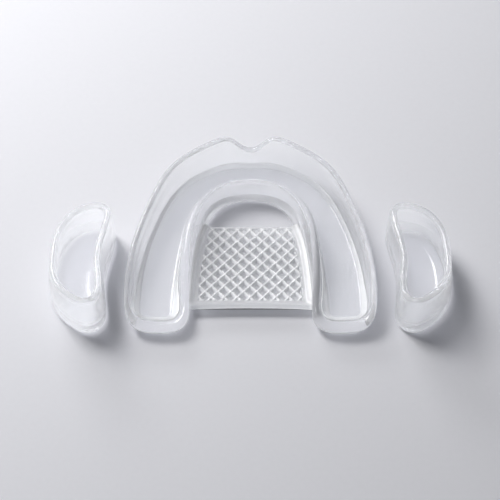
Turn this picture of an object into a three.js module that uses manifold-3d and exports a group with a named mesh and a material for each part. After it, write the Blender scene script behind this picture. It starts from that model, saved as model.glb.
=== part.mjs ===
// Full-arch sports mouthguard tray with a textured tongue plate, and a pair of
// loose mirrored molar cups. Millimetres, +Z up, +Y toward the front teeth.
import * as THREE from 'three';
import Module from 'manifold-3d';
import { mergeVertices } from 'three/addons/utils/BufferGeometryUtils.js';

// ---------------------------------------------------------------- dimensions
const GAP = 0.3;            // clearance between neighbouring pieces
const RIM_T = 1.1;          // thickness of the tray's rim
const EDGE_R = 0.7;         // rounding of the tray's bottom edge
const SHELL_FLOOR = 1.3;    // top of the tray's own floor
const LINER_BOTTOM = SHELL_FLOOR + GAP;
const LINER_FLOOR = 2.4;    // bite surface of the liner
const LINER_EDGE = 3.9;     // height the liner climbs up the channel walls
const LINER_T = 0.75;       // thickness of the liner's upturned edge
const OUTER_SHARE = 0.32;   // where the channel corner sits between floor edge and base,
const INNER_SHARE = 0.2;    // on the labial and on the lingual side
const HALF_STATIONS = 30;   // stations along half of the arch

const PLATE_TOP = 3.3;      // top of the plate's ridges
const PLATE_BOTTOM = 1.7;
const RIDGE_PITCH = 3.13;   // diagonal lattice, corner to corner
const RIDGE_W = 0.55;       // width of one ridge
const POCKET_DEPTH = 0.6;
const LATTICE_Y0 = 3.95;    // front-most ridge crossing

const CUP_H = 14.0;         // height of a molar cup
const CUP_RIM_T = 0.8;
const CUP_FLOOR = 1.3;
const CUP_STATIONS = 44;

// One row per station along the left half of the arch:
// rim edge x, y, height | floor edge x, y | base edge x, y
const OUTER = [
  [-21.6, -24.35, 4.0, -22.4, -20.4, -21.7, -23.3],
  [-24.5, -24.30, 4.0, -24.6, -20.4, -24.6, -23.3],
  [-26.6, -24.10, 4.1, -26.1, -20.3, -26.3, -23.0],
  [-28.3, -23.50, 4.3, -26.7, -19.7, -27.5, -22.3],
  [-29.5, -22.30, 4.7, -26.85, -18.6, -28.3, -21.0],
  [-30.2, -20.20, 5.3, -26.85, -17.0, -28.8, -19.2],
  [-30.6, -17.20, 6.2, -26.8, -14.6, -29.1, -16.4],
  [-30.72, -14.00, 6.9, -26.7, -12.0, -29.1, -13.4],
  [-30.45, -10.50, 7.7, -26.5, -9.2, -28.8, -10.0],
  [-29.95, -7.00, 8.5, -26.05, -6.0, -28.3, -6.6],
  [-29.20, -3.20, 9.1, -25.35, -2.4, -27.6, -2.9],
  [-28.15, 0.80, 9.6, -24.35, 1.3, -26.6, 1.0],
  [-26.85, 4.40, 10.0, -23.2, 4.8, -25.4, 4.5],
  [-25.40, 8.00, 10.4, -21.95, 8.2, -24.1, 8.0],
  [-23.95, 12.00, 10.7, -20.35, 11.6, -22.6, 11.9],
  [-22.35, 15.70, 10.9, -18.6, 14.4, -20.9, 15.2],
  [-20.05, 18.90, 11.1, -16.5, 16.7, -18.9, 18.1],
  [-17.00, 21.45, 11.3, -14.0, 18.7, -16.1, 20.6],
  [-13.55, 23.45, 11.7, -11.2, 20.3, -12.9, 22.6],
  [-10.00, 25.25, 12.0, -8.3, 21.5, -9.6, 24.1],
  [-6.70, 26.30, 12.2, -5.6, 22.2, -6.5, 25.1],
  [-5.20, 26.35, 12.0, -4.4, 22.4, -5.1, 25.4],
  [-3.95, 26.05, 11.2, -3.4, 22.5, -3.9, 25.5],
  [-2.75, 25.60, 9.9, -2.4, 22.55, -2.8, 25.5],
  [-1.45, 25.30, 9.0, -1.3, 22.6, -1.5, 25.4],
  [0.00, 25.20, 8.7, 0.0, 22.6, 0.0, 25.4],
];
const INNER = [
  [-21.6, -24.35, 4.0, -22.4, -20.4, -21.7, -23.3],
  [-19.4, -24.30, 4.0, -20.7, -20.4, -19.6, -23.3],
  [-17.6, -23.95, 4.1, -19.7, -20.25, -17.9, -22.9],
  [-16.1, -23.10, 4.3, -19.3, -19.7, -16.6, -22.1],
  [-15.2, -21.80, 4.5, -19.2, -18.7, -15.7, -20.9],
  [-14.85, -20.10, 4.6, -19.17, -17.3, -15.25, -19.4],
  [-14.8, -17.40, 4.8, -19.1, -15.4, -14.95, -17.2],
  [-15.0, -14.00, 5.6, -18.9, -12.6, -14.7, -14.0],
  [-15.1, -10.00, 6.6, -18.6, -9.2, -14.4, -10.0],
  [-14.9, -6.00, 7.4, -18.2, -5.4, -14.0, -6.0],
  [-14.5, -2.00, 8.0, -17.6, -1.4, -13.5, -2.0],
  [-13.9, 2.00, 8.5, -16.95, 2.5, -12.7, 1.8],
  [-13.0, 5.50, 8.8, -16.3, 6.0, -11.6, 5.1],
  [-11.8, 8.60, 9.0, -15.5, 9.6, -10.4, 8.0],
  [-10.0, 11.20, 9.1, -14.0, 12.9, -9.0, 10.4],
  [-7.6, 13.00, 9.2, -11.2, 15.8, -7.1, 12.3],
  [-4.9, 14.05, 9.2, -7.0, 17.35, -4.8, 13.5],
  [-2.4, 14.50, 9.2, -3.4, 17.8, -2.4, 14.05],
  [0.0, 14.60, 9.2, 0.0, 17.9, 0.0, 14.2],
];

// Left molar cup, clockwise from its front end: rim x, y | base x, y
const CUP = [
  [-37.6, 5.80, -37.4, 5.90], [-39.6, 5.50, -39.5, 5.70],
  [-41.5, 4.80, -41.6, 5.20], [-43.8, 3.30, -44.2, 3.90],
  [-45.8, 0.80, -46.5, 1.40], [-47.1, -2.20, -48.1, -1.70],
  [-47.65, -5.40, -49.1, -5.20], [-47.85, -8.80, -49.5, -8.80],
  [-47.8, -12.20, -49.3, -12.40], [-46.9, -15.70, -48.3, -16.20],
  [-45.1, -18.40, -46.2, -19.40], [-42.6, -20.50, -43.3, -21.90],
  [-40.0, -21.80, -40.4, -23.40], [-37.7, -21.70, -37.7, -23.10],
  [-36.0, -20.40, -35.8, -21.50], [-35.2, -17.90, -35.0, -18.60],
  [-35.3, -14.60, -35.4, -14.80], [-35.75, -11.40, -35.8, -11.50],
  [-35.8, -8.20, -35.7, -8.20], [-35.3, -4.90, -35.1, -4.80],
  [-34.6, -1.70, -34.3, -1.50], [-34.0, 1.30, -33.8, 1.40],
  [-33.9, 3.30, -33.8, 3.40], [-34.6, 4.70, -34.5, 4.80],
  [-35.9, 5.50, -35.8, 5.60],
];
const CUP_SPINE = [[-37.7, 2.2], [-40.6, -0.6], [-42.1, -4.5], [-42.4, -9.0],
  [-41.6, -13.5], [-39.6, -17.6]];

// ------------------------------------------------------------------- helpers
const lerp = (a, b, t) => a + (b - a) * t;
const catmull = (p0, p1, p2, p3, t) => 0.5 * (2 * p1 + (p2 - p0) * t
  + (2 * p0 - 5 * p1 + 4 * p2 - p3) * t * t + (3 * p1 - p0 - 3 * p2 + p3) * t * t * t);

// Rows resampled evenly along the path of their first two columns.
function resample(rows, count, closed) {
  const n = rows.length, segs = closed ? n : n - 1, fine = 12;
  const at = (i) => (closed ? rows[(i + n) % n] : rows[Math.max(0, Math.min(n - 1, i))]);
  const pts = [];
  for (let i = 0; i < segs; i++) for (let k = 0; k < fine; k++) {
    const r = [at(i - 1), at(i), at(i + 1), at(i + 2)];
    pts.push(r[0].map((_, c) => catmull(r[0][c], r[1][c], r[2][c], r[3][c], k / fine)));
  }
  pts.push([...at(segs)]);
  const len = [0];
  for (let i = 1; i < pts.length; i++) {
    len.push(len[i - 1] + Math.hypot(pts[i][0] - pts[i - 1][0], pts[i][1] - pts[i - 1][1]));
  }
  const total = len[len.length - 1], out = [];
  const steps = closed ? count : count - 1;
  let j = 0;
  for (let i = 0; i < count; i++) {
    const want = total * i / steps;
    while (j < len.length - 2 && len[j + 1] < want) j++;
    const t = Math.min(1, Math.max(0, (want - len[j]) / (len[j + 1] - len[j])));
    out.push(pts[j].map((v, c) => lerp(v, pts[j + 1][c], t)));
  }
  return out;
}

function solid(points, faces) {
  let volume = 0;
  const v = (i) => points[i];
  for (const [a, b, c] of faces) {
    const [p, q, r] = [v(a), v(b), v(c)];
    volume += p[0] * (q[1] * r[2] - q[2] * r[1]) - p[1] * (q[0] * r[2] - q[2] * r[0])
      + p[2] * (q[0] * r[1] - q[1] * r[0]);
  }
  const index = volume < 0 ? faces.map(([a, b, c]) => [a, c, b]) : faces;
  const g = new THREE.BufferGeometry();
  g.setAttribute('position', new THREE.Float32BufferAttribute(points.flat(), 3));
  g.setIndex(index.flat());
  g.computeVertexNormals();
  return g;
}

// A closed loop of stations, each with the same profile; the first and last
// profile points of outer and inner stations are bridged by flat strips.
function archSolid(outerHalf, innerHalf) {
  const mirror = (prof) => prof.map(([x, y, z]) => [-x, y, z]);
  const outer = [...outerHalf, ...outerHalf.slice(0, -1).reverse().map(mirror)];
  const inner = [...innerHalf, ...innerHalf.slice(0, -1).reverse().map(mirror)];
  const m = outer.length, k = outer[0].length, points = [], faces = [];
  const ring = [...outer, ...inner.slice(1, -1).reverse()];
  for (const prof of ring) for (const p of prof) points.push(p);
  const n = ring.length, id = (i, j) => ((i + n) % n) * k + j;
  for (let i = 0; i < n; i++) for (let j = 0; j < k - 1; j++) {
    faces.push([id(i, j), id(i + 1, j), id(i + 1, j + 1)], [id(i, j), id(i + 1, j + 1), id(i, j + 1)]);
  }
  const opposite = (i) => (i === 0 ? 0 : i === m - 1 ? m - 1 : n - i);
  for (const [j, flip] of [[0, true], [k - 1, false]]) {
    for (let i = 0; i < m - 1; i++) {
      const [a, b] = [id(i, j), id(i + 1, j)];
      const [c, d] = [id(opposite(i + 1), j), id(opposite(i), j)];
      const quad = [];
      if (d !== a) quad.push([a, c, d]);
      if (b !== c) quad.push([a, b, c]);
      for (const t of quad) faces.push(flip ? [t[0], t[2], t[1]] : t);
    }
  }
  return solid(points, faces);
}

const toward = (from, to, d) => {
  const l = Math.hypot(to[0] - from[0], to[1] - from[1]) || 1;
  return [from[0] + (to[0] - from[0]) * d / l, from[1] + (to[1] - from[1]) * d / l];
};
const mix = (a, b, t) => [lerp(a[0], b[0], t), lerp(a[1], b[1], t)];

// ------------------------------------------------------------ tray and liner
const outerRows = resample(OUTER, HALF_STATIONS, false);
const innerRows = resample(INNER, HALF_STATIONS, false);

function channel(row, share) {
  const rim = [row[0], row[1]], floor = [row[3], row[4]], base = [row[5], row[6]], h = row[2];
  const rimIn = toward(rim, floor, RIM_T);
  const corner = mix(floor, base, share);
  // point on the channel's inner wall at height z
  const wall = (z) => mix(corner, rimIn, (z - SHELL_FLOOR) / (h - 0.45 - SHELL_FLOOR));
  return { rim, floor, base, h, rimIn, corner, wall };
}

function shellProfile(row, share) {
  const { rim, floor, base, h, rimIn, corner, wall } = channel(row, share);
  const baseIn = toward(base, floor, EDGE_R);
  const mid = mix(base, rim, 0.45);
  return [
    [...baseIn, 0], [...toward(base, floor, EDGE_R * 0.25), EDGE_R * 0.4],
    [...mid, lerp(EDGE_R, h - 0.5, 0.5)],
    [...rim, h - 0.5], [...toward(rim, floor, 0.32), h],
    [...toward(rim, floor, RIM_T - 0.32), h], [...rimIn, h - 0.45],
    [...wall(SHELL_FLOOR + 0.5), SHELL_FLOOR + 0.5],
    [...toward(corner, floor, 0.5), SHELL_FLOOR],
  ];
}

function linerProfile(row, share) {
  const { floor, corner, wall, h } = channel(row, share);
  const top = Math.min(LINER_EDGE, h - 0.9);
  const off = (z) => toward(wall(z), floor, GAP + 0.05);
  const inn = (z, d) => toward(off(z), floor, d);
  const cove = mix(inn(top, LINER_T), floor, 0.45);
  return [
    [...toward(corner, floor, 0.95), LINER_BOTTOM],
    [...off(LINER_BOTTOM + 0.55), LINER_BOTTOM + 0.55],
    [...off(top - 0.2), top - 0.2], [...inn(top, 0.2), top],
    [...inn(top, LINER_T - 0.15), top],
    [...inn(top, LINER_T + 0.05), top - 0.35],
    [...cove, lerp(LINER_FLOOR, top, 0.2)],
    [...floor, LINER_FLOOR],
  ];
}

// The share changes over gradually around the heels, where both sides meet.
const shareAt = (target, i) => lerp((OUTER_SHARE + INNER_SHARE) / 2, target, Math.min(1, i / 5));
const sweep = (profile) => archSolid(
  outerRows.map((r, i) => profile(r, shareAt(OUTER_SHARE, i))),
  innerRows.map((r, i) => profile(r, shareAt(INNER_SHARE, i))));
const trayGeometry = sweep(shellProfile);
const linerGeometry = sweep(linerProfile);

// -------------------------------------------------------------- tongue plate
const wasm = await Module();
wasm.setup();
const { Manifold, Mesh } = wasm;

function toManifold(geometry) {
  const g = geometry.clone();
  g.deleteAttribute('normal');
  g.deleteAttribute('uv');
  const m = mergeVertices(g, 1e-5);
  return new Manifold(new Mesh({
    numProp: 3,
    vertProperties: new Float32Array(m.attributes.position.array),
    triVerts: new Uint32Array(m.index.array),
  }));
}
function fromManifold(body) {
  const mesh = body.getMesh();
  const g = new THREE.BufferGeometry();
  g.setAttribute('position', new THREE.Float32BufferAttribute(mesh.vertProperties, 3));
  g.setIndex(Array.from(mesh.triVerts));
  g.computeVertexNormals();
  return g;
}
function prism(outline, z0, z1) {
  const shape = new THREE.Shape(outline.map(([x, y]) => new THREE.Vector2(x, y)));
  const g = new THREE.ExtrudeGeometry(shape, { depth: z1 - z0, bevelEnabled: false });
  g.translate(0, 0, z0);
  return g;
}

// The plate's sides follow the lingual wall; its corners round off at the lens opening.
const side = innerRows
  .filter((r) => r[1] > -17.6 && r[1] < 6.6)
  .map((r) => {
    const rim = [r[0], r[1]], floor = [r[3], r[4]], base = [r[5], r[6]];
    const face = mix(base, rim, 0.28);
    const reach = base[0] > face[0] ? base : face;
    return toward(reach, floor, -(GAP + 0.05));
  });
const REAR_Y = -17.35, FRONT_Y = 5.2;
const left = [
  [0, REAR_Y], [-7, REAR_Y - 0.12], [-13.2, REAR_Y - 0.3], [-14.3, REAR_Y - 0.35],
  ...side.filter((p) => p[1] > REAR_Y + 0.3),
  [-10.15, 6.9], [-9.75, 6.1], [-9.0, 5.45], [-7.5, FRONT_Y - 0.1], [-4, FRONT_Y],
];
const plateOutline = [...left, [0, FRONT_Y + 0.05],
  ...left.slice(1).reverse().map(([x, y]) => [-x, y])];

const edgeX = (y) => {
  const knots = [[-15.6, 12.75], [-10, 12.45], [-5, 11.9], [0, 11.2], [4, 10.3]];
  for (let i = 0; i < knots.length - 1; i++) {
    const [a, b] = [knots[i], knots[i + 1]];
    if (y <= b[0]) return lerp(a[1], b[1], (y - a[0]) / (b[0] - a[0]));
  }
  return knots[knots.length - 1][1];
};
const field = [];
for (const y of [-15.7, -12, -8, -4, 0, 3.9]) field.push([-edgeX(y), y]);
const fieldOutline = [...field, ...field.slice().reverse().map(([x, y]) => [-x, y])];

const pockets = [];
const HALF = RIDGE_PITCH / 2 - RIDGE_W / Math.SQRT2;
for (let j = 0; j < 14; j++) for (let i = -5; i <= 5; i++) {
  const cx = (i + (j % 2 ? 0.5 : 0)) * RIDGE_PITCH;
  const cy = LATTICE_Y0 - RIDGE_PITCH / 2 - j * RIDGE_PITCH / 2;
  if (Math.abs(cx) > edgeX(cy) + 0.6 || cy < -16.2) continue;
  const g = new THREE.CylinderGeometry(HALF + 0.12, HALF - 0.45, POCKET_DEPTH + 0.3, 4);
  g.rotateX(Math.PI / 2);
  g.translate(cx, cy, PLATE_TOP - POCKET_DEPTH + (POCKET_DEPTH + 0.3) / 2);
  pockets.push(toManifold(g));
}
const cutters = Manifold.union(pockets).intersect(toManifold(prism(fieldOutline, 1, 5)));
const plateGeometry = fromManifold(
  toManifold(prism(plateOutline, PLATE_BOTTOM, PLATE_TOP)).subtract(cutters));

// ---------------------------------------------------------------- molar cups
function nearestOnSpine(p) {
  let best = null, dist = 1e9;
  for (let i = 0; i < CUP_SPINE.length - 1; i++) {
    const [a, b] = [CUP_SPINE[i], CUP_SPINE[i + 1]];
    const dx = b[0] - a[0], dy = b[1] - a[1];
    const t = Math.min(1, Math.max(0, ((p[0] - a[0]) * dx + (p[1] - a[1]) * dy) / (dx * dx + dy * dy)));
    const q = [a[0] + dx * t, a[1] + dy * t], d = Math.hypot(q[0] - p[0], q[1] - p[1]);
    if (d < dist) { dist = d; best = q; }
  }
  return best;
}
function cupGeometry(flip) {
  const rows = resample(CUP, CUP_STATIONS, true), n = rows.length;
  const profiles = rows.map((r) => {
    const rim = [r[0], r[1]], base = [r[2], r[3]];
    const spine = nearestOnSpine(base);
    const rimSpine = nearestOnSpine(rim);
    const face = (z) => mix(base, rim, (z - 1) / (CUP_H - 1));
    const innerAt = (z, d) => toward(face(z), spine, d);
    return [
      [...toward(base, spine, 1.0), 0], [...toward(base, spine, 0.25), 0.35],
      [...base, 1.1],
      [...rim, CUP_H - 0.35], [...toward(rim, rimSpine, 0.25), CUP_H],
      [...toward(rim, rimSpine, CUP_RIM_T - 0.25), CUP_H],
      [...toward(rim, rimSpine, CUP_RIM_T), CUP_H - 0.35],
      [...innerAt(3.2, 1.25), 3.2], [...innerAt(1.9, 1.75), 1.9],
      [...innerAt(1.3, 2.9), CUP_FLOOR],
    ];
  });
  const k = profiles[0].length;
  const points = profiles.flat().map(([x, y, z]) => [flip ? -x : x, y, z]), faces = [];
  const id = (i, j) => ((i + n) % n) * k + j;
  for (let i = 0; i < n; i++) for (let j = 0; j < k - 1; j++) {
    faces.push([id(i, j), id(i + 1, j), id(i + 1, j + 1)], [id(i, j), id(i + 1, j + 1), id(i, j + 1)]);
  }
  for (const [j, under] of [[0, true], [k - 1, false]]) {
    const loop = profiles.map((p) => new THREE.Vector2(p[j][0], p[j][1]));
    const ccw = !THREE.ShapeUtils.isClockWise(loop);
    for (const [a, b, c] of THREE.ShapeUtils.triangulateShape(loop, [])) {
      const t = [id(a, j), id(b, j), id(c, j)];
      // walls run with the loop: the base closes against it, the floor along it
      faces.push((under === ccw) ? [t[0], t[2], t[1]] : t);
    }
  }
  return { points, faces };
}

// Orientation of caps is made consistent with the walls before the solid is closed.
function closeCup(flip) {
  const { points, faces } = cupGeometry(flip);
  const edges = new Map();
  faces.forEach((f, i) => f.forEach((a, s) => {
    const b = f[(s + 1) % 3], key = a < b ? `${a}_${b}` : `${b}_${a}`;
    if (!edges.has(key)) edges.set(key, []);
    edges.get(key).push([i, a < b]);
  }));
  const seen = new Array(faces.length).fill(0), turned = new Array(faces.length).fill(false);
  const stack = [0];
  seen[0] = 1;
  while (stack.length) {
    const i = stack.pop(), f = faces[i];
    for (let s = 0; s < 3; s++) {
      const a = f[s], b = f[(s + 1) % 3], key = a < b ? `${a}_${b}` : `${b}_${a}`;
      const mine = edges.get(key).find((e) => e[0] === i);
      for (const e of edges.get(key)) if (e[0] !== i && !seen[e[0]]) {
        seen[e[0]] = 1;
        turned[e[0]] = (e[1] === mine[1]) !== turned[i];
        stack.push(e[0]);
      }
    }
  }
  return solid(points, faces.map(([a, b, c], i) => (turned[i] ? [a, c, b] : [a, b, c])));
}

// ------------------------------------------------------------------ assembly
const group = new THREE.Group();
function add(name, geometry, colour, roughness) {
  const mesh = new THREE.Mesh(geometry, new THREE.MeshStandardMaterial({
    color: colour, roughness, metalness: 0, transparent: true, opacity: 0.55,
  }));
  mesh.name = name;
  group.add(mesh);
}
add('guard_tray', trayGeometry, 0xdfe3e8, 0.3);
add('bite_liner', linerGeometry, 0xe9ecef, 0.4);
add('tongue_plate', plateGeometry, 0xdde1e6, 0.35);
add('left_molar_cup', closeCup(false), 0xdfe3e8, 0.3);
add('right_molar_cup', closeCup(true), 0xdfe3e8, 0.3);

// The origin sits under the middle of the whole set.
const box = new THREE.Box3().setFromObject(group);
const shift = [-(box.min.x + box.max.x) / 2, -(box.min.y + box.max.y) / 2, -box.min.z];
for (const mesh of group.children) mesh.geometry.translate(...shift);

export default group;
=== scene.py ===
import math
import bpy
import numpy as np
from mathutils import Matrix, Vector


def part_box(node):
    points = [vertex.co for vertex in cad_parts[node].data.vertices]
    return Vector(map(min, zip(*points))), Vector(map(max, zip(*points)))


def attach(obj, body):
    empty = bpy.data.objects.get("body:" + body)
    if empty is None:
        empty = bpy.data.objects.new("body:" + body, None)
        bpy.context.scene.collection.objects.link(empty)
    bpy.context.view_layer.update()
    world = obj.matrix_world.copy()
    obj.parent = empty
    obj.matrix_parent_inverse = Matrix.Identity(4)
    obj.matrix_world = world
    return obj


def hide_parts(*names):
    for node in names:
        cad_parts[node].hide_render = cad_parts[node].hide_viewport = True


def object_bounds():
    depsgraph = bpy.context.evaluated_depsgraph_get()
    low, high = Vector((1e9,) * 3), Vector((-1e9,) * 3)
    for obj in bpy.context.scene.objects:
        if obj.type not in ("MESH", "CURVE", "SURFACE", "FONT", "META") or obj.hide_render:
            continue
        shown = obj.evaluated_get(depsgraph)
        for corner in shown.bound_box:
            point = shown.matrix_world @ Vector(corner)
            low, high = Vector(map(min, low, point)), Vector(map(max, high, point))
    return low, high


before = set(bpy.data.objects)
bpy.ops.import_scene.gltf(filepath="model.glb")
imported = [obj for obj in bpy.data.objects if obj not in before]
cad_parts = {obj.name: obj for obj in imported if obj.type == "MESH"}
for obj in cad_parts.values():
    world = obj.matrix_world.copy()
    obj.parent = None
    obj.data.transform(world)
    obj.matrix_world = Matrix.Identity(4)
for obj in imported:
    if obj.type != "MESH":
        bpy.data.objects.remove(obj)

CAD_BOX = [[float(v) for v in c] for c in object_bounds()]
MM = 0.001

# ------------------------------------------------------------------ form data
# rim edge x, y, height | floor edge x, y | base edge x, y  (millimetres)
OUTER = [
    (-21.6, -24.35, 4.0, -22.4, -19.8, -21.7, -23.3),
    (-24.5, -24.30, 4.0, -24.6, -19.8, -24.6, -23.3),
    (-26.6, -24.10, 4.1, -26.1, -19.7, -26.3, -23.0),
    (-28.3, -23.50, 4.3, -26.7, -19.2, -27.5, -22.3),
    (-29.5, -22.30, 4.7, -26.85, -18.6, -28.3, -21.0),
    (-30.2, -20.20, 5.3, -26.85, -17.0, -28.8, -19.2),
    (-30.6, -17.20, 6.2, -26.8, -14.6, -29.1, -16.4),
    (-30.72, -14.00, 6.9, -26.7, -12.0, -29.1, -13.4),
    (-30.45, -10.50, 7.7, -26.5, -9.2, -28.8, -10.0),
    (-29.95, -7.00, 8.5, -26.05, -6.0, -28.3, -6.6),
    (-29.20, -3.20, 9.1, -25.35, -2.4, -27.6, -2.9),
    (-28.15, 0.80, 9.6, -24.35, 1.3, -26.6, 1.0),
    (-26.85, 4.40, 10.0, -23.2, 4.8, -25.4, 4.5),
    (-25.40, 8.00, 10.4, -21.95, 8.2, -24.1, 8.0),
    (-23.95, 12.00, 10.7, -20.35, 11.6, -22.6, 11.9),
    (-22.35, 15.70, 10.9, -18.6, 14.4, -20.9, 15.2),
    (-20.05, 18.90, 11.1, -16.5, 16.7, -18.9, 18.1),
    (-17.00, 21.45, 11.3, -14.0, 18.7, -16.1, 20.6),
    (-13.55, 23.45, 11.7, -11.2, 20.3, -12.9, 22.6),
    (-10.00, 25.25, 12.0, -8.3, 21.5, -9.6, 24.1),
    (-6.70, 26.30, 12.2, -5.6, 22.2, -6.5, 25.1),
    (-5.20, 26.35, 12.0, -4.4, 22.4, -5.1, 25.4),
    (-3.95, 26.05, 11.2, -3.4, 22.5, -3.9, 25.5),
    (-2.75, 25.60, 9.9, -2.4, 22.55, -2.8, 25.5),
    (-1.45, 25.30, 9.0, -1.3, 22.6, -1.5, 25.4),
    (0.00, 25.20, 8.7, 0.0, 22.6, 0.0, 25.4),
]
INNER = [
    (-21.6, -24.35, 4.0, -22.4, -19.8, -21.7, -23.3),
    (-19.4, -24.30, 4.0, -20.7, -19.8, -19.6, -23.3),
    (-17.6, -23.95, 4.1, -19.7, -19.65, -17.9, -22.9),
    (-16.1, -23.10, 4.3, -19.3, -19.2, -16.6, -22.1),
    (-15.2, -21.80, 4.5, -19.2, -18.7, -15.7, -20.9),
    (-14.85, -20.10, 4.6, -19.17, -17.3, -15.25, -19.4),
    (-14.8, -17.40, 4.8, -19.1, -15.4, -14.95, -17.2),
    (-15.0, -14.00, 5.6, -18.9, -12.6, -14.7, -14.0),
    (-15.1, -10.00, 6.6, -18.6, -9.2, -14.4, -10.0),
    (-14.9, -6.00, 7.4, -18.2, -5.4, -14.0, -6.0),
    (-14.5, -2.00, 8.0, -17.6, -1.4, -13.5, -2.0),
    (-13.9, 2.00, 8.5, -16.95, 2.5, -12.7, 1.8),
    (-13.0, 5.50, 8.8, -16.3, 6.0, -11.6, 5.1),
    (-11.8, 8.60, 9.0, -15.5, 9.6, -10.4, 8.0),
    (-10.0, 11.20, 9.1, -14.0, 12.9, -9.0, 10.4),
    (-7.6, 13.00, 9.2, -11.2, 15.8, -7.1, 12.3),
    (-4.9, 14.05, 9.2, -7.0, 17.35, -4.8, 13.5),
    (-2.4, 14.50, 9.2, -3.4, 17.8, -2.4, 14.05),
    (0.0, 14.60, 9.2, 0.0, 17.9, 0.0, 14.2),
]
# left molar cup, from its front tip round the convex side: rim x, y | base x, y
CUP = [
    (-37.6, 5.80, -37.4, 5.90), (-39.6, 5.50, -39.5, 5.70),
    (-41.5, 4.80, -41.6, 5.20), (-43.8, 3.30, -44.2, 3.90),
    (-45.8, 0.80, -46.5, 1.40), (-47.1, -2.20, -48.1, -1.70),
    (-47.65, -5.40, -49.1, -5.20), (-47.85, -8.80, -49.5, -8.80),
    (-47.8, -12.20, -49.3, -12.40), (-46.9, -15.70, -48.3, -16.20),
    (-45.1, -18.40, -46.2, -19.40), (-42.6, -20.50, -43.3, -21.90),
    (-40.0, -21.80, -40.4, -23.40), (-37.7, -21.70, -37.7, -23.10),
    (-36.0, -20.40, -35.8, -21.50), (-35.2, -17.90, -35.0, -18.60),
    (-35.3, -14.60, -35.4, -14.80), (-35.75, -11.40, -35.8, -11.50),
    (-35.8, -8.20, -35.7, -8.20), (-35.3, -4.90, -35.1, -4.80),
    (-34.6, -1.70, -34.3, -1.50), (-34.0, 1.30, -33.8, 1.40),
    (-33.9, 3.30, -33.8, 3.40), (-34.6, 4.70, -34.5, 4.80),
    (-35.9, 5.50, -35.8, 5.60),
]
CUP_SPINE = [(-37.7, 2.2), (-40.6, -0.6), (-42.1, -4.5), (-42.4, -9.0), (-41.6, -13.5), (-39.6, -17.6)]
CUP_H = 14.0
SHELL_FLOOR, LINER_FLOOR, LINER_EDGE = 1.3, 2.4, 3.9
OUTER_SHARE, INNER_SHARE = 0.32, 0.2

# the CAD row is centred on the set's outline, so forms given from the arch's own origin are moved with it
tray_lo, tray_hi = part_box("guard_tray")
SHIFT_Y = float(tray_lo[1]) / MM + 24.35


# -------------------------------------------------------------------- helpers
def spline(rows, closed=False, fine=24):
    a = np.array(rows, float)
    n = len(a)
    idx = lambda i: (i % n) if closed else min(max(i, 0), n - 1)
    out = []
    for i in range(n if closed else n - 1):
        p0, p1, p2, p3 = a[idx(i - 1)], a[idx(i)], a[idx(i + 1)], a[idx(i + 2)]
        for k in range(fine):
            t = k / fine
            out.append(0.5 * (2 * p1 + (p2 - p0) * t + (2 * p0 - 5 * p1 + 4 * p2 - p3) * t * t
                              + (3 * p1 - p0 - 3 * p2 + p3) * t ** 3))
    if not closed:
        out.append(a[-1])
    return np.array(out)


def evenly(path, count):
    d = np.r_[0, np.cumsum(np.hypot(*(np.diff(path[:, :2], axis=0).T)))]
    want = np.linspace(0, d[-1], count)
    return np.stack([np.interp(want, d, path[:, c]) for c in range(path.shape[1])], 1)


def soften_ring(ring, sigma):
    """periodic Gaussian blur of every column along a ring of stations"""
    r = int(math.ceil(sigma * 3))
    k = np.exp(-0.5 * (np.arange(-r, r + 1) / sigma) ** 2)
    k /= k.sum()
    pad = np.vstack([ring[-r:], ring, ring[:r]])
    return np.stack([np.convolve(pad[:, c], k, "valid") for c in range(ring.shape[1])], 1)


def unit(v):
    return v / np.maximum(np.linalg.norm(v, axis=-1, keepdims=True), 1e-9)


def toward(a, b, d):
    return a + unit(b - a) * np.asarray(d)[..., None]


def mix(a, b, t):
    t = np.asarray(t)
    t = t[..., None] if t.ndim else t
    return a + (b - a) * t


def smooth(a, b, x):
    t = np.clip((np.asarray(x, float) - a) / (b - a), 0, 1)
    return t * t * (3 - 2 * t)


def with_z(xy, z):
    return np.concatenate([xy, np.broadcast_to(np.asarray(z, float), xy.shape[:1])[:, None]], 1)


def build(name, verts, faces, relief, shadow_weight):
    """relief: how frosted each vertex is, 0 polished to 1 etched; the second value per vertex: how much lamp light its
    wall stops in shadow rays, set from which side of the piece faces the lamps, so it places shade rather than
    following the wall's thickness
    """
    verts = np.array(verts, float)
    verts[:, 1] += SHIFT_Y
    me = bpy.data.meshes.new(name)
    me.from_pydata((verts * MM).tolist(), [], [list(map(int, f)) for f in faces])
    layer = me.attributes.new("relief", "FLOAT", "POINT")
    layer.data.foreach_set("value", np.array(relief, np.float32))
    layer = me.attributes.new("shadow_weight", "FLOAT", "POINT")
    layer.data.foreach_set("value", np.array(shadow_weight, np.float32))
    import bmesh
    bm = bmesh.new()
    bm.from_mesh(me)
    bmesh.ops.remove_doubles(bm, verts=bm.verts, dist=1e-7)
    bmesh.ops.dissolve_degenerate(bm, edges=bm.edges, dist=1e-7)
    bmesh.ops.recalc_face_normals(bm, faces=bm.faces)
    bm.to_mesh(me)
    bm.free()
    for p in me.polygons:
        p.use_smooth = True
    ob = bpy.data.objects.new(name, me)
    bpy.context.scene.collection.objects.link(ob)
    return ob


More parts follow.
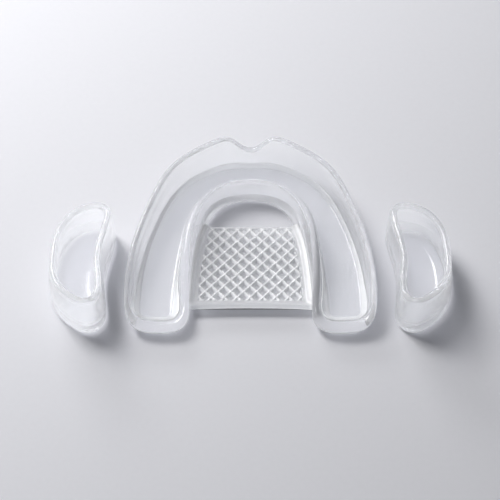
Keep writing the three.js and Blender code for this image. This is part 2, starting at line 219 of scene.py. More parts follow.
def ring_body(name, layers, frost, shadow_weights, pair_low, pair_high, low_cols=6, high_cols=10, high_shape=None):
    """layers: list of (n,3) rings, from the underside edge to the floor edge.
    pair_low / pair_high: lists of (i, j) stations joined across by strips of columns."""
    n, k = len(layers[0]), len(layers)
    verts = [p for ring in layers for p in ring]
    relief = [f for f in frost for _ in range(n)]
    shadow_weight = [float(d) for _ in frost for d in shadow_weights]
    faces = []
    for a in range(k - 1):
        for i in range(n):
            j = (i + 1) % n
            faces.append((a * n + i, a * n + j, (a + 1) * n + j, (a + 1) * n + i))
    for layer, pairs, cols, shape in ((0, pair_low, low_cols, None), (k - 1, pair_high, high_cols, high_shape)):
        rows = []
        for s, (i, j) in enumerate(pairs):
            a, b = np.array(layers[layer][i]), np.array(layers[layer][j])
            row = [layer * n + i]
            for t in (cols if isinstance(cols, list) else [c / cols for c in range(1, cols)]):
                p = a + (b - a) * t
                if shape is not None:
                    p = shape(p, t, s / (len(pairs) - 1))
                if i == j:
                    continue
                verts.append(p)
                relief.append(frost[layer])
                shadow_weight.append(0.5)
                row.append(len(verts) - 1)
            if i != j:
                row.append(layer * n + j)
            rows.append(row)
        for r0, r1 in zip(rows[:-1], rows[1:]):
            if len(r0) == 1:
                for c in range(len(r1) - 1):
                    faces.append((r0[0], r1[c], r1[c + 1]))
            elif len(r1) == 1:
                for c in range(len(r0) - 1):
                    faces.append((r0[c], r1[0], r0[c + 1]))
            else:
                for c in range(len(r0) - 1):
                    faces.append((r0[c], r1[c], r1[c + 1], r0[c + 1]))
    return build(name, verts, faces, relief, shadow_weight)


# --------------------------------------------------------------- arch stations
HALF = 120
left_out = evenly(spline(OUTER), HALF)
left_in = evenly(spline(INNER), HALF)
FLIP = np.array([-1, 1, 1, -1, 1, -1, 1.0])
outer = np.vstack([left_out, left_out[-2::-1] * FLIP])
inner = np.vstack([left_in, left_in[-2::-1] * FLIP])
M = len(outer)
ring = np.vstack([outer, inner[-2:0:-1]])
N = len(ring)
fine_ring, soft_ring = soften_ring(ring, 1.6), soften_ring(ring, 3.2)
near_notch = np.where(np.arange(N) < M, 1 - smooth(7.0, 15.0, np.abs(ring[:, 0])), 0) * (ring[:, 1] > 15)
near_heel = 1 - smooth(-20.0, -12.0, ring[:, 1])
sweep_ring = soften_ring(ring, 6.0)
soft_ring = sweep_ring + (soft_ring - sweep_ring) * near_heel[:, None]
ring = soft_ring + (fine_ring - soft_ring) * near_notch[:, None]
across = [(i, (N - i) % N) for i in range(M)]
across[-1] = (M - 1, M - 1)

RIM, H, FLOOR, BASE = ring[:, 0:2], ring[:, 2], ring[:, 3:5], ring[:, 5:7]
share = np.empty(N)
for i in range(N):
    near = min(i if i < M else N - i, abs(M - 1 - i))
    target = OUTER_SHARE if i < M else INNER_SHARE
    w = min(1.0, near / 22.0)
    w = w * w * (3 - 2 * w)
    share[i] = (OUTER_SHARE + INNER_SHARE) / 2 * (1 - w) + target * w
CORNER = mix(FLOOR, BASE, share)

# wall top: 1.5 mm round the outside, a broad round back on the inner legs, thin across the front, wide at the heels
side = np.where(np.arange(N) < M, 0.0, 1.0)
side = soften_ring(side[:, None], 3.0)[:, 0]
leg = 1 - smooth(4.0, 11.5, RIM[:, 1])
heel_w = 1 - smooth(-23.6, -19.5, RIM[:, 1])
THICK = 1.45 * (1 - side) + (1.2 + 1.0 * leg) * side
THICK = THICK + (3.1 - THICK) * heel_w
THICK = soften_ring(THICK[:, None], 3.0)[:, 0]
CAP = 0.72 * (1 - side) + (0.55 + 0.55 * leg) * side
CAP = CAP + (1.3 - CAP) * heel_w
CAP = soften_ring(CAP[:, None], 3.0)[:, 0]
NECK = toward(RIM, FLOOR, THICK - 0.22)
LOW = SHELL_FLOOR + 0.55


def tray_layers():
    layers = []
    r = 0.75
    for k in range(6):                                   # rounded underside edge
        a = math.pi / 2 * k / 5
        layers.append(with_z(toward(BASE, FLOOR, r * (1 - math.sin(a))), r * (1 - math.cos(a))))
    for k in range(1, 10):                               # outside of the wall, slightly full
        t = k / 9
        z = r + (H - CAP - r) * t
        p = mix(BASE, RIM, t)
        layers.append(with_z(toward(p, FLOOR, np.full(N, -0.22 * math.sin(math.pi * t))), z))
    for k in range(1, 14):                               # rolled rim
        a = math.pi * k / 14
        layers.append(with_z(toward(RIM, FLOOR, THICK / 2 * (1 - math.cos(a))), H - CAP + CAP * math.sin(a)))
    layers.append(with_z(toward(RIM, FLOOR, THICK), H - CAP))
    for k in range(1, 12):                               # inside of the wall
        t = k / 11
        z = (H - CAP) + (LOW - (H - CAP)) * t
        p = mix(NECK, CORNER, t)
        p = toward(p, FLOOR, 0.22 * (1 - smooth(0.0, 0.3, t)) * np.ones(N))
        layers.append(with_z(p, z))
    for k in range(1, 4):
        a = math.pi / 2 * k / 3
        layers.append(with_z(toward(CORNER, FLOOR, np.full(N, 0.55 * (1 - math.cos(a)))),
                             LOW - 0.55 * math.sin(a)))
    return layers


def liner_layers():
    gap = 0.14
    top = np.minimum(LINER_EDGE, H - 1.0)

    def wall(z):
        t = np.clip(((H - CAP) - z) / ((H - CAP) - LOW), 0, 1)
        return toward(mix(NECK, CORNER, t), FLOOR, gap + 0.22 * (1 - smooth(0.0, 0.3, t)))

    layers = []
    bottom = SHELL_FLOOR + gap
    start = toward(CORNER, FLOOR, np.full(N, 0.6 + gap))
    layers.append(with_z(start, bottom))
    for k in range(1, 4):
        a = math.pi / 2 * k / 3
        layers.append(with_z(mix(start, wall(bottom + 0.6), math.sin(a)), bottom + 0.6 * (1 - math.cos(a))))
    for k in range(1, 6):
        z = bottom + 0.6 + (top - 0.25 - bottom - 0.6) * k / 5
        layers.append(with_z(wall(z), z))
    crest = wall(top - 0.25)
    room = np.hypot(*(FLOOR - crest).T)
    t_edge = np.clip(room * 0.36, 0.3, 0.55)
    for k in range(1, 8):                                # rounded upper edge
        a = math.pi * k / 8
        layers.append(with_z(toward(crest, FLOOR, t_edge / 2 * (1 - math.cos(a))),
                             top - 0.25 + 0.25 * math.sin(a)))
    a0 = toward(crest, FLOOR, t_edge)
    for t in (0.0, 0.14, 0.30, 0.46, 0.62, 0.76, 0.87, 0.94, 0.98, 1.0):   # full slope down to a crisp foot line
        z = LINER_FLOOR + (top - 0.25 - LINER_FLOOR) * (1 - t) * (1 + 0.45 * t)
        layers.append(with_z(mix(a0, FLOOR, t), z))
    return layers


def dish(p, t, s):
    q = np.array(p)
    q[2] -= 0.16 * math.sin(math.pi * t) ** 0.7 * min(1.0, 12 * min(s, 1 - s)) + 0.03 * min(1.0, 40 * min(t, 1 - t))
    return q


tray_rings = tray_layers()
# frost per layer, from the underside edge up the outer wall, over the rim and down the inner wall; the outer wall's
# drop from 1.0 at the foot to 0.45 at the rim makes the foot milkier and also sets where the lamps' light through the
# wall is cut most, which places shade near the base
TRAY_FROST = [0.05, 0.2, 0.4, 0.65, 0.85, 1.0] + [float(v) for v in np.linspace(1.0, 0.45, 9)] + [0.50] * 13
TRAY_FROST += [0.38] * 10 + [0.10] * (len(tray_rings) - len(TRAY_FROST) - 10)
# how much each tray wall stops the lamps' light, set from which side faces the lamps: full on the right side and the
# heels, less on the walls nearer the lamps, 0.9 on the inner walls; placed shade that keeps the channel floor lit and
# the outside shadows dark
lean = smooth(-0.35, 0.35, (RIM[:, 0] * 0.7 - (RIM[:, 1] + 1.0) * 0.6) / 25.0)
lean = 0.42 + 0.58 * np.maximum(lean, heel_w)
TRAY_SHADOW_WEIGHT = np.where(np.arange(N) < M, lean, 0.9)
tray = ring_body("guard_tray_body", tray_rings, TRAY_FROST, TRAY_SHADOW_WEIGHT, across, across)
FLOOR_COLS = [0.008, 0.03, 0.08, 0.16, 0.26, 0.38, 0.5, 0.62, 0.74, 0.84, 0.92, 0.97, 0.992]
liner_rings = liner_layers()
liner = ring_body("bite_liner_body", liner_rings, [0.0] * 9 + [0.8] * 7 + [0.8] * 7 + [0.6, 0.35, 0.2] + [0.05] * (len(liner_rings) - 26), np.full(N, 0.15), across, across, high_cols=FLOOR_COLS, high_shape=dish)

# ---------------------------------------------------------------- molar cups
path = spline(CUP, closed=True, fine=24)
tip, heel = 0, 12 * 24 + 16
MC = 90
side_a = evenly(path[tip:heel + 1], MC)
side_b = evenly(np.vstack([path[heel:], path[:1]]), MC)
cup_ring = np.vstack([side_a, side_b[1:-1]])
NC = len(cup_ring)
cup_ring = soften_ring(cup_ring, 2.0)
cup_across = [(i, (NC - i) % NC) for i in range(MC)]
spine = np.array(CUP_SPINE, float)


def nearest(points):
    best, dist = np.zeros_like(points), np.full(len(points), 1e9)
    for a, b in zip(spine[:-1], spine[1:]):
        ab = b - a
        t = np.clip(((points - a) @ ab) / (ab @ ab), 0, 1)
        q = a + t[:, None] * ab
        d = np.hypot(*(q - points).T)
        best[d < dist], dist = q[d < dist], np.minimum(d, dist)
    return best


def inward(loop):
    """unit normals of a closed loop in plan, pointing in"""
    d = np.roll(loop, -1, 0) - np.roll(loop, 1, 0)
    nrm = unit(np.stack([-d[:, 1], d[:, 0]], 1))
    area = np.sum(loop[:, 0] * np.roll(loop[:, 1], -1) - np.roll(loop[:, 0], -1) * loop[:, 1])
    return nrm if area > 0 else -nrm


def cup(name, sign):
    rim, base = cup_ring[:, 0:2], cup_ring[:, 2:4]
    n_rim, n_base = inward(rim), inward(base)
    core = nearest(base)
    layers = []
    r = 1.15
    for k in range(7):
        a = math.pi / 2 * k / 6
        layers.append(with_z(base + n_base * (r * (1 - math.sin(a))), r * (1 - math.cos(a))))
    cap = 0.72
    for k in range(1, 12):
        t = k / 11
        bulge = 0.28 * math.sin(math.pi * t) ** 1.2
        layers.append(with_z(mix(base, rim, t) - n_base * bulge * 0.6, r + (CUP_H - cap - r) * t))
    thick = 1.62
    for k in range(1, 10):
        a = math.pi * k / 10
        layers.append(with_z(rim + n_rim * (thick / 2 * (1 - math.cos(a))), CUP_H - cap + cap * math.sin(a)))
    layers.append(with_z(rim + n_rim * thick, CUP_H - cap))
    low = 4.4
    for k in range(1, 12):
        t = k / 11
        z = (CUP_H - cap) + (low - (CUP_H - cap)) * t
        f = (z - 1) / (CUP_H - 1)
        outline = mix(base, rim, f)
        inner_n = unit(mix(n_base, n_rim, f))
        w = 1.32 + 0.30 * (1 - float(smooth(0, 0.2, t)))
        layers.append(with_z(outline + inner_n * w, z))
    f = (low - 1) / (CUP_H - 1)
    foot = mix(base, rim, f) + unit(mix(n_base, n_rim, f)) * 1.32
    # the floor's fillet narrows where the cup's ends leave less room for it
    reach = np.minimum(3.0, 0.62 * np.hypot(*(core - foot).T))
    for k in range(1, 9):
        a = math.pi / 2 * k / 8
        layers.append(with_z(toward(foot, core, reach * (1 - math.cos(a))), low - 3.1 * math.sin(a)))
    layers = [ring_ * np.array([sign, 1, 1.0]) for ring_ in layers]

    def floor_shape(p, t, s):
        q = np.array(p)
        q[2] -= 0.12 * math.sin(math.pi * t) * math.sin(math.pi * s)
        return q
    # frost per layer, from the underside edge up the outer wall, over the rim and down the inside; the outer wall's
    # drop from 1.0 at the foot to 0.5 at the rim makes the foot milkier and also sets where the lamps' light through
    # the wall is cut most, which places shade near the base
    frost = [0.05, 0.1, 0.25, 0.45, 0.65, 0.85, 1.0] + [float(v) for v in np.linspace(1.0, 0.5, 11)] + [0.35] * 9
    frost += [0.22] * 10 + [0.15] * (len(layers) - len(frost) - 10)
    # how much each cup wall stops the lamps' light, set from which side of the cup faces the lamps: less on the side
    # nearer the lamps, full on the far side; placed shade that keeps the cup floor lit and the shadow beside the cup
    # dark
    mid = (rim.min(0) + rim.max(0)) / 2
    lean = 0.42 + 0.58 * smooth(-0.35, 0.35, ((rim[:, 0] - mid[0]) * sign * 0.8 - (rim[:, 1] - mid[1]) * 0.45) / 12.0)
    return ring_body(name, layers, frost, lean, cup_across, cup_across, high_cols=10, high_shape=floor_shape)


left_cup = cup("left_molar_cup_body", 1)
right_cup = cup("right_molar_cup_body", -1)

# --------------------------------------------------------------- tongue plate
PITCH, LATTICE_Y0 = 3.13, 3.95
TOP, BOTTOM = 3.3, 1.7
REAR_Y, FRONT_Y = -17.35, 5.2

inner_path = ring[M:][::-1][:HALF]           # inner stations, left heel to front
lingual = []
for row in inner_path:
    rim, floor, base = row[0:2], row[3:5], row[5:7]
    face = base + (rim - base) * 0.28
    reach = base if base[0] > face[0] else face
    lingual.append(reach)
lingual = np.array(lingual)
lingual = lingual[lingual[:, 1] > -21]
lingual = lingual[np.r_[True, np.diff(lingual[:, 1]) > 1e-6]]


def wall_x(y):
    return -np.interp(y, lingual[:, 1], lingual[:, 0])


def field_x(y):
    return np.interp(y, [-15.6, -10, -5, 0, 4], [12.75, 12.45, 11.9, 11.2, 10.3])


def plate_mesh():
    cols, rows = 240, 196
    u = np.linspace(-1, 1, cols)
    v = np.linspace(0, 1, rows)
    U, V = np.meshgrid(u, v)
    rear = REAR_Y - 0.4 * np.abs(U) ** 2.2
    horn = 0.5 * smooth(0.7, 1.0, np.abs(U))
    front = FRONT_Y - 0.12 * np.abs(U) ** 2 + horn
    Y = rear + (front - rear) * V
    half = wall_x(Y) + 0.35
    X = U * half
    # lattice of raised ridges crossing at right angles
    a = (X + (Y - LATTICE_Y0)) / PITCH
    b = (X - (Y - LATTICE_Y0)) / PITCH
    da = np.abs(a - np.round(a)) * PITCH / math.sqrt(2)
    db = np.abs(b - np.round(b)) * PITCH / math.sqrt(2)
    d = np.minimum(da, db)
    pocket = smooth(0.12, 0.60, d)
    crest = 0.10 * (1 - smooth(0.02, 0.20, d))
    inside = np.minimum.reduce([
        smooth(-0.05, 0.35, field_x(Y) - np.abs(X)),
        smooth(-15.85, -15.45, Y),
        smooth(-0.25, 0.15, LATTICE_Y0 + 0.25 - Y)])
    Z = TOP - 0.12 - 0.72 * pocket * inside + crest * inside
    border = 1 - inside
    Z = Z - 0.06 * border
    # rises softly into the lingual walls
    edge = half - np.abs(X)
    Z = Z + 0.75 * (1 - smooth(0.2, 1.7, edge)) * smooth(-17.4, -15.0, Y)
    # rounded rear lip and front edge
    back = Y - rear
    nose = front - Y
    Z = Z - 0.55 * (1 - smooth(0.0, 0.8, back)) ** 2 + 0.16 * np.exp(-((back - 0.8) / 0.42) ** 2)
    Z = Z - 0.45 * (1 - smooth(0.0, 0.6, nose)) ** 2 + 0.14 * np.exp(-((nose - 0.7) / 0.35) ** 2)
    frost = np.clip((0.12 + 0.88 * (1 - smooth(0.42, 0.86, d))) * inside + 0.45 * border + 0.6 * (1 - smooth(0.4, 1.4, edge)), 0, 1)
    n = cols * rows
    border_loop = ([c for c in range(cols)] + [r * cols + cols - 1 for r in range(1, rows)]
                   + [(rows - 1) * cols + c for c in range(cols - 2, -1, -1)]
                   + [r * cols for r in range(rows - 2, 0, -1)])
    top_v = np.stack([X, Y, Z], -1).reshape(-1, 3)
    edge_v = top_v[border_loop]
    m = len(edge_v)
    tang = np.roll(edge_v[:, :2], -3, 0) - np.roll(edge_v[:, :2], 3, 0)
    inw = unit(np.stack([-tang[:, 1], tang[:, 0]], 1))
    rings = [top_v]
    for off, z in ((-0.02, BOTTOM + 0.55), (0.02, BOTTOM + 0.28), (0.14, BOTTOM + 0.10), (0.34, BOTTOM)):
        rings.append(np.c_[edge_v[:, :2] + inw * off, np.full(m, z)])
    verts = np.concatenate(rings)
    faces = []
    for r in range(rows - 1):
        for c in range(cols - 1):
            i = r * cols + c
            faces.append((i, i + 1, i + cols + 1, i + cols))
    loops = [border_loop] + [[n + k * m + i for i in range(m)] for k in range(4)]
    for up, down in zip(loops[:-1], loops[1:]):
        for i in range(m):
            j = (i + 1) % m
            faces.append((up[i], down[i], down[j], up[j]))
    faces.append(tuple(loops[-1][::-1]))                 # flat underside
    return build("tongue_plate_body", verts, faces, np.r_[frost.ravel(), np.full(4 * m, 0.6)], np.ones(len(verts)))


plate = plate_mesh()

# ------------------------------------------------------------------ materials
def node(nt, kind, **values):
    n = nt.nodes.new(kind)
    for k, v in values.items():
        setattr(n, k, v)
    return n


def clear_material(name, tint, rough, rough_var, grain, milk, body, shadow, top_shadow, steep_shadow, seed, relief):
    m = bpy.data.materials.new(name)
    m.use_nodes = True
    nt = m.node_tree
    nt.nodes.clear()
    out = node(nt, "ShaderNodeOutputMaterial")
    bsdf = node(nt, "ShaderNodeBsdfPrincipled")
    bsdf.inputs["IOR"].default_value = 1.42
    bsdf.inputs["Transmission Weight"].default_value = 1.0 - milk
    # etched outer faces and raised ridges are milkier than the polished inner faces
    worn = node(nt, "ShaderNodeAttribute", attribute_name="relief")
    less = node(nt, "ShaderNodeMapRange")
    less.label = "relief"
    less.inputs["To Min"].default_value = 1.0 - milk
    less.inputs["To Max"].default_value = relief
    nt.links.new(worn.outputs["Fac"], less.inputs["Value"])
    nt.links.new(less.outputs["Result"], bsdf.inputs["Transmission Weight"])
    bsdf.inputs["Coat Weight"].default_value = 0.8
    bsdf.inputs["Coat Roughness"].default_value = 0.09
    bsdf.inputs["Coat IOR"].default_value = 1.45
    coords = node(nt, "ShaderNodeTexCoord")
    # cloudy colour variation of the moulded elastomer
    cloud = node(nt, "ShaderNodeTexNoise")
    cloud.inputs["Scale"].default_value = 140
    cloud.inputs["Detail"].default_value = 4
    cloud.inputs["Roughness"].default_value = 0.55
    offset = node(nt, "ShaderNodeMapping")
    offset.inputs["Location"].default_value = (seed, seed * 0.7, seed * 0.3)
    nt.links.new(coords.outputs["Object"], offset.inputs["Vector"])
    nt.links.new(offset.outputs["Vector"], cloud.inputs["Vector"])
    ramp = node(nt, "ShaderNodeValToRGB")
    ramp.color_ramp.elements[0].position = 0.3
    ramp.color_ramp.elements[0].color = (*[c * 0.965 for c in tint], 1)
    ramp.color_ramp.elements[1].position = 0.72
    ramp.color_ramp.elements[1].color = (*tint, 1)
    nt.links.new(cloud.outputs["Fac"], ramp.inputs["Fac"])
    nt.links.new(ramp.outputs["Color"], bsdf.inputs["Base Color"])
    # satin patches in the gloss
    patch = node(nt, "ShaderNodeTexNoise")
    patch.inputs["Scale"].default_value = 420
    patch.inputs["Detail"].default_value = 3
    nt.links.new(offset.outputs["Vector"], patch.inputs["Vector"])
    rng = node(nt, "ShaderNodeMapRange")
    rng.inputs["From Min"].default_value = 0.35
    rng.inputs["From Max"].default_value = 0.7
    rng.inputs["To Min"].default_value = rough
    rng.inputs["To Max"].default_value = rough + rough_var
    nt.links.new(patch.outputs["Fac"], rng.inputs["Value"])
    nt.links.new(rng.outputs["Result"], bsdf.inputs["Roughness"])
    # soft flow waves from the mould and a fine frosted grain
    wave = node(nt, "ShaderNodeTexNoise")
    wave.inputs["Scale"].default_value = 260
    wave.inputs["Detail"].default_value = 2
    nt.links.new(offset.outputs["Vector"], wave.inputs["Vector"])
    fine = node(nt, "ShaderNodeTexNoise")
    fine.inputs["Scale"].default_value = 3200
    fine.inputs["Detail"].default_value = 2
    nt.links.new(offset.outputs["Vector"], fine.inputs["Vector"])
    # faint level lines left by the mould
    level = node(nt, "ShaderNodeTexWave", wave_type="BANDS", bands_direction="Z")
    level.inputs["Scale"].default_value = 240
    level.inputs["Distortion"].default_value = 2.0
    level.inputs["Detail"].default_value = 2
    level.inputs["Detail Scale"].default_value = 1.5
    nt.links.new(coords.outputs["Object"], level.inputs["Vector"])
    b0 = node(nt, "ShaderNodeBump")
    b0.label = "levels"
    b0.inputs["Strength"].default_value = 0.012
    b0.inputs["Distance"].default_value = 0.00006
    nt.links.new(level.outputs["Fac"], b0.inputs["Height"])
    b1 = node(nt, "ShaderNodeBump")
    nt.links.new(b0.outputs["Normal"], b1.inputs["Normal"])
    b1.inputs["Strength"].default_value = 0.008
    b1.inputs["Distance"].default_value = 0.0006
    nt.links.new(wave.outputs["Fac"], b1.inputs["Height"])
    b2 = node(nt, "ShaderNodeBump")
    b2.inputs["Strength"].default_value = grain
    b2.inputs["Distance"].default_value = 0.00006
    nt.links.new(fine.outputs["Fac"], b2.inputs["Height"])
    nt.links.new(b1.outputs["Normal"], b2.inputs["Normal"])
    nt.links.new(b2.outputs["Normal"], bsdf.inputs["Normal"])
    # light that enters on the far side glows through the milky wall
    glow = node(nt, "ShaderNodeBsdfTranslucent")
    glow.label = "glow"
    glow.inputs["Color"].default_value = (0.97, 0.975, 0.985, 1)
    layer = node(nt, "ShaderNodeMixShader")
    layer.label = "glowmix"
    layer.inputs["Fac"].default_value = body
    nt.links.new(bsdf.outputs["BSDF"], layer.inputs[1])
    nt.links.new(glow.outputs["BSDF"], layer.inputs[2])
    # lamps shine through the clear body, and are dimmed more where they graze a wall
    graze = node(nt, "ShaderNodeLayerWeight")
    graze.inputs["Blend"].default_value = 0.5
    dim = node(nt, "ShaderNodeMix", data_type="RGBA")
    dim.label = "shade"
    flat = node(nt, "ShaderNodeMix", data_type="RGBA")
    flat.label = "flat_shade"
    flat.inputs[6].default_value = (shadow, shadow, shadow * 1.005, 1)
    flat.inputs[7].default_value = (0.30, 0.305, 0.32, 1)
    # per-vertex weight of how much light a wall stops, set from which side faces the lamps: placed shade in the lamps'
    # light through the body, not the wall's thickness
    thick = node(nt, "ShaderNodeAttribute", attribute_name="shadow_weight")
    frost_shade_weight = node(nt, "ShaderNodeMath", operation="MULTIPLY")
    nt.links.new(worn.outputs["Fac"], frost_shade_weight.inputs[0])
    nt.links.new(thick.outputs["Fac"], frost_shade_weight.inputs[1])
    nt.links.new(frost_shade_weight.outputs["Value"], flat.inputs[0])
    nt.links.new(flat.outputs[2], dim.inputs[6])
    # shadow rays are dimmed more through the frosted lower part of a wall than through its clear top, scaled by the
    # lamp-side weight: placed shade that keeps floors inside lit and shadows dark near the base
    foot = node(nt, "ShaderNodeMapRange", interpolation_type="SMOOTHSTEP")
    foot.inputs["From Min"].default_value = 0.56
    foot.inputs["From Max"].default_value = 0.84
    nt.links.new(worn.outputs["Fac"], foot.inputs["Value"])
    wall_dim = node(nt, "ShaderNodeMix", data_type="RGBA")
    wall_dim.label = "wall_shade"
    wall_dim.inputs[6].default_value = (top_shadow, top_shadow * 1.004, top_shadow * 1.014, 1)
    wall_dim.inputs[7].default_value = (steep_shadow, steep_shadow * 1.02, steep_shadow * 1.06, 1)
    foot_shade_weight = node(nt, "ShaderNodeMath", operation="MULTIPLY")
    nt.links.new(foot.outputs["Result"], foot_shade_weight.inputs[0])
    nt.links.new(thick.outputs["Fac"], foot_shade_weight.inputs[1])
    nt.links.new(foot_shade_weight.outputs["Value"], wall_dim.inputs[0])
    nt.links.new(wall_dim.outputs[2], dim.inputs[7])
    steep = node(nt, "ShaderNodeMapRange", interpolation_type="SMOOTHSTEP")
    steep.label = "steep"
    steep.inputs["From Min"].default_value = 0.29
    steep.inputs["From Max"].default_value = 0.66
    nt.links.new(graze.outputs["Facing"], steep.inputs["Value"])
    nt.links.new(steep.outputs["Result"], dim.inputs[0])
    rays = node(nt, "ShaderNodeLightPath")
    through = node(nt, "ShaderNodeBsdfTransparent")
    nt.links.new(dim.outputs[2], through.inputs["Color"])
    blend = node(nt, "ShaderNodeMixShader")
    nt.links.new(rays.outputs["Is Shadow Ray"], blend.inputs["Fac"])
    nt.links.new(layer.outputs["Shader"], blend.inputs[1])
    nt.links.new(through.outputs["BSDF"], blend.inputs[2])
    nt.links.new(blend.outputs["Shader"], out.inputs["Surface"])
    return m


TINT = (0.985, 0.988, 0.995)
mat_tray = clear_material("clear_tray", TINT, 0.14, 0.04, 0.0, 0.02, 0.07, 0.98, 0.90, 0.06, 0.0, 0.84)
mat_liner = clear_material("clear_liner", (0.97, 0.975, 0.985), 0.08, 0.04, 0.0, 0.02, 0.08, 1.0, 0.95, 0.85, 3.1, 0.60)
mat_plate = clear_material("clear_plate", TINT, 0.08, 0.04, 0.0, 0.04, 0.12, 0.88, 0.85, 0.3, 5.3, 0.50)
mat_cup = clear_material("clear_cup", TINT, 0.15, 0.04, 0.0, 0.02, 0.10, 1.0, 0.97, 0.03, 7.7, 0.80)

for ob, mat, body, cad, slot in (
        (tray, mat_tray, "guard", "guard_tray", "tray_clear"),
        (liner, mat_liner, "guard", "bite_liner", "liner_clear"),
        (plate, mat_plate, "guard", "tongue_plate", "plate_clear"),
        (left_cup, mat_cup, "left_cup", "left_molar_cup", "cup_clear"),
        (right_cup, mat_cup, "right_cup", "right_molar_cup", "cup_clear")):
    ob.data.materials.append(mat)
    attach(ob, body)
    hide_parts(cad)

# ---------------------------------------------------------------------- stage
def floor_material():
    m = bpy.data.materials.new("table_paper")
    m.use_nodes = True
    nt = m.node_tree
    bsdf = nt.nodes["Principled BSDF"]
    bsdf.inputs["Roughness"].default_value = 0.75
    bsdf.inputs["Specular IOR Level"].default_value = 0.25
    noise = node(nt, "ShaderNodeTexNoise")
    noise.inputs["Scale"].default_value = 900
    noise.inputs["Detail"].default_value = 4
    ramp = node(nt, "ShaderNodeValToRGB")
    ramp.color_ramp.elements[0].color = (0.785, 0.79, 0.835, 1)
    ramp.color_ramp.elements[1].color = (0.81, 0.815, 0.86, 1)
    co = node(nt, "ShaderNodeTexCoord")
    nt.links.new(co.outputs["Object"], noise.inputs["Vector"])
    nt.links.new(noise.outputs["Fac"], ramp.inputs["Fac"])
    nt.links.new(ramp.outputs["Color"], bsdf.inputs["Base Color"])
    return m


me = bpy.data.meshes.new("table")
s = 3.0
me.from_pydata([(-s, -s, 0), (s, -s, 0), (s, s, 0), (-s, s, 0)], [], [(0, 1, 2, 3)])
table = bpy.data.objects.new("table", me)
table.location.z = float(CAD_BOX[0][2]) - 0.00002
table.data.materials.append(floor_material())
bpy.context.scene.collection.objects.link(table)


def area(name, loc, target, size, power, colour=(1, 1, 1)):
    from mathutils import Vector
    l = bpy.data.lights.new(name, "AREA")
    l.shape = "RECTANGLE"
    l.size, l.size_y = size
    l.energy = power
    l.color = colour
    o = bpy.data.objects.new(name, l)
    o.location = loc
    o.rotation_euler = (Vector(target) - Vector(loc)).to_track_quat("-Z", "Y").to_euler()
    bpy.context.scene.collection.objects.link(o)
    return o


key = area("key_softbox", (-0.23, 0.21, 0.35), (0.0, 0.0, 0.0), (0.17, 0.17), 1.85, (1.0, 0.99, 0.98))
key.visible_transmission = False
key.visible_glossy = False
key.visible_camera = False

wrap = area("wrap_fill", (-0.34, -0.30, 0.09), (0.0, 0.0, 0.0), (0.3, 0.14), 2.8, (0.97, 0.98, 1.0))
wrap.visible_glossy = False
wrap.visible_transmission = False
wrap.visible_camera = False
lit = bpy.data.collections.new("pieces")
for ob in (tray, liner, plate, left_cup, right_cup):
    lit.objects.link(ob)
wrap.light_linking.receiver_collection = lit

low = area("low_back", (-0.27, 0.57, 0.27), (0.0, 0.0, 0.0), (0.30, 0.14), 2.1, (0.98, 0.99, 1.0))
low.visible_glossy = False
low.visible_transmission = False
low.visible_camera = False

world = bpy.data.worlds.new("studio")
bpy.context.scene.world = world
world.use_nodes = True
world.cycles.sampling_method = "NONE"
wn = world.node_tree
wn.nodes.clear()
tc = node(wn, "ShaderNodeTexCoord")
sep = node(wn, "ShaderNodeSeparateXYZ")
wn.links.new(tc.outputs["Generated"], sep.inputs["Vector"])
wr = node(wn, "ShaderNodeValToRGB")
wr.color_ramp.elements[0].position = 0.0
wr.color_ramp.elements[0].color = (0.18, 0.20, 0.24, 1)
wr.color_ramp.elements[1].position = 0.75
wr.color_ramp.elements[1].color = (0.86, 0.87, 0.89, 1)
wn.links.new(sep.outputs["Z"], wr.inputs["Fac"])
room = node(wn, "ShaderNodeBackground")
room.label = "room"
room.inputs["Strength"].default_value = 0.10
seen = node(wn, "ShaderNodeBackground")
seen.label = "seen"
seen.inputs["Strength"].default_value = 1.1


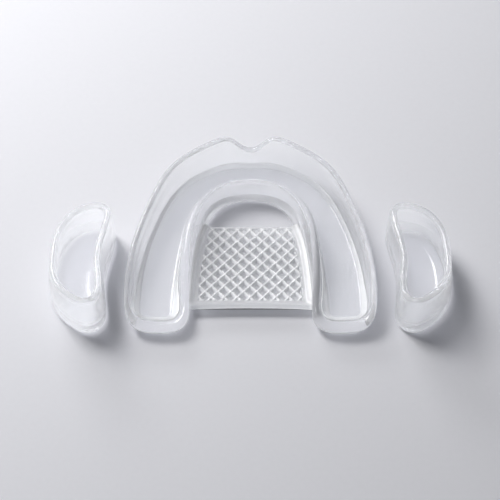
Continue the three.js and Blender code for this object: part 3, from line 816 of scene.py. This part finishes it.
def glow_patch(label, direction, inner, outer, strength, base):
    """adds a soft round lamp face to what gloss and glass see of the room"""
    d = np.array(direction, float)
    d /= np.linalg.norm(d)
    dot = node(wn, "ShaderNodeVectorMath", operation="DOT_PRODUCT")
    dot.inputs[1].default_value = tuple(d)
    wn.links.new(tc.outputs["Generated"], dot.inputs[0])
    edge = node(wn, "ShaderNodeMapRange", interpolation_type="SMOOTHSTEP")
    edge.label = label
    edge.inputs["From Min"].default_value = math.cos(math.radians(outer))
    edge.inputs["From Max"].default_value = math.cos(math.radians(inner))
    edge.inputs["To Min"].default_value = 0.0
    edge.inputs["To Max"].default_value = strength
    wn.links.new(dot.outputs["Value"], edge.inputs["Value"])
    add = node(wn, "ShaderNodeVectorMath", operation="ADD")
    wn.links.new(base, add.inputs[0])
    wn.links.new(edge.outputs["Result"], add.inputs[1])
    return add.outputs["Vector"]


sky = glow_patch("lamp", (-0.44, 0.42, 0.79), 6, 13, 10.0, wr.outputs["Color"])
sky = glow_patch("card", (-0.60, 0.72, 0.30), 10, 26, 0.5, sky)
wn.links.new(sky, seen.inputs["Color"])
wn.links.new(wr.outputs["Color"], room.inputs["Color"])
wl = node(wn, "ShaderNodeLightPath")
wm = node(wn, "ShaderNodeMixShader")
after = node(wn, "ShaderNodeMath", operation="GREATER_THAN")
after.inputs[1].default_value = 0.5
wn.links.new(wl.outputs["Diffuse Depth"], after.inputs[0])
wn.links.new(after.outputs["Value"], wm.inputs["Fac"])
wn.links.new(seen.outputs["Background"], wm.inputs[1])
wn.links.new(room.outputs["Background"], wm.inputs[2])
wo = node(wn, "ShaderNodeOutputWorld")
wn.links.new(wm.outputs["Shader"], wo.inputs["Surface"])

# --------------------------------------------------------------------- camera
ELEV, DIST, LENS = math.radians(61.0), 0.3296, 94.68
cam_data = bpy.data.cameras.new("camera")
cam_data.lens = LENS
cam_data.sensor_width = 36
cam_data.clip_start = 0.01
cam = bpy.data.objects.new("camera", cam_data)
cam.location = (-0.000125, SHIFT_Y * MM - DIST * math.cos(ELEV), DIST * math.sin(ELEV))
cam.rotation_euler = (math.pi / 2 - ELEV, 0, 0)
bpy.context.scene.collection.objects.link(cam)
bpy.context.scene.camera = cam

sc = bpy.context.scene
sc.view_settings.view_transform = "Standard"
sc.view_settings.look = "None"
sc.cycles.max_bounces = 20
sc.cycles.transmission_bounces = 16
sc.cycles.transparent_max_bounces = 24
sc.cycles.diffuse_bounces = 4
sc.cycles.glossy_bounces = 6
sc.cycles.caustics_refractive = True
sc.cycles.caustics_reflective = False
sc.cycles.blur_glossy = 0.6
sc.cycles.sample_clamp_indirect = 4.0
